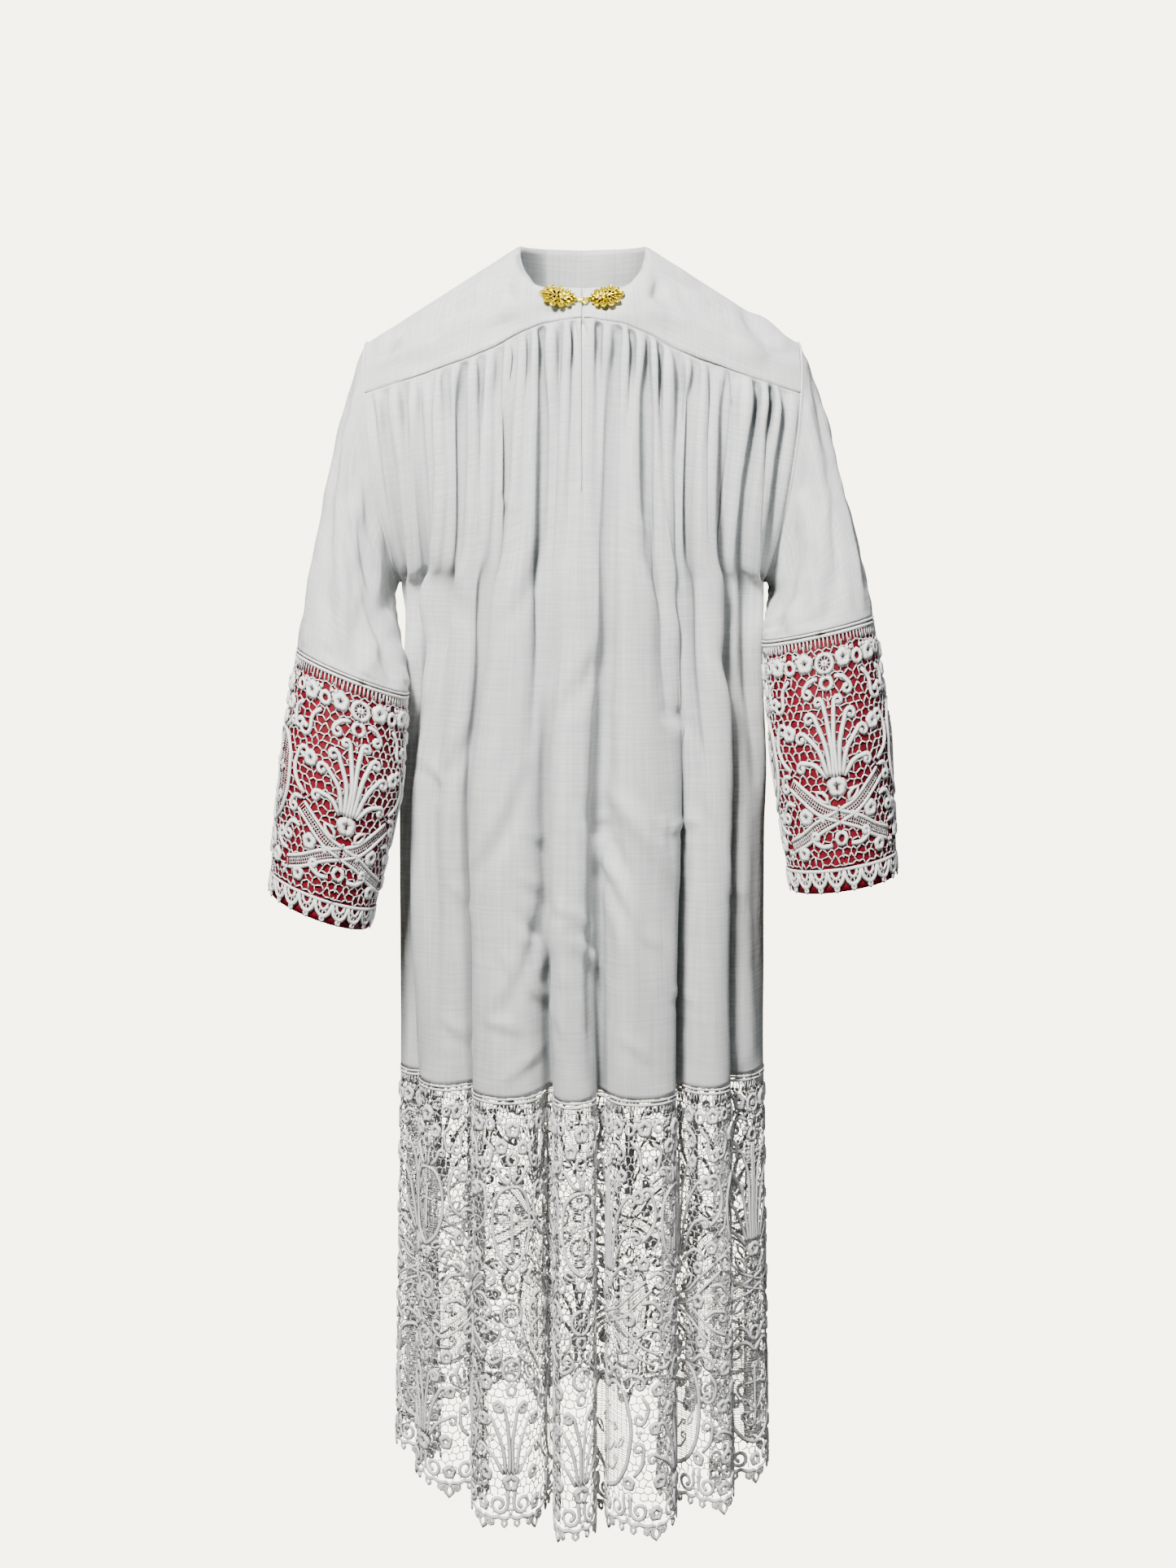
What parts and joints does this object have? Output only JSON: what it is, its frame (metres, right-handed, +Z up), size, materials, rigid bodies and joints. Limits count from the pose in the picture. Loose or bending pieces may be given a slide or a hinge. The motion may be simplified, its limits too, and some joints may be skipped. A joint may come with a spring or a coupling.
{
  "type": "alb",
  "caption": "White alb in worn form: gathered body, long sleeves, deep lace flounce, lace cuffs over a red lining and a gilt neck clasp.",
  "frame": {"origin": "between the shoulders at the height of the sides of the neck, where the wearer's shoulders hold the alb", "axes": "+Z up along the wearer, -Y to the wearer's front, +X to the wearer's left"},
  "size_m": [0.6886, 0.4097, 1.4372],
  "materials": {
    "alb_cloth": "thin off-white plain weave with slubs",
    "lace": "matte raised cotton guipure lace",
    "cuff_lining": "crimson satin",
    "clasp": "bright gilt casting"
  },
  "bodies": {
    "root": {"yoke_front_right": "alb_cloth", "yoke_front_left": "alb_cloth", "yoke_back": "alb_cloth", "body_front": "alb_cloth", "body_back": "alb_cloth", "sleeve_right": "alb_cloth", "sleeve_left": "alb_cloth", "flounce_front": "lace", "flounce_back": "lace", "cuff_lace_right_front": "lace", "cuff_lace_right_back": "lace", "cuff_lace_left_front": "lace", "cuff_lace_left_back": "lace", "cuff_lining_right": "cuff_lining", "cuff_lining_left": "cuff_lining", "clasp_hook_half": "clasp", "clasp_eye_half": "clasp"}
  },
  "joints": []
}
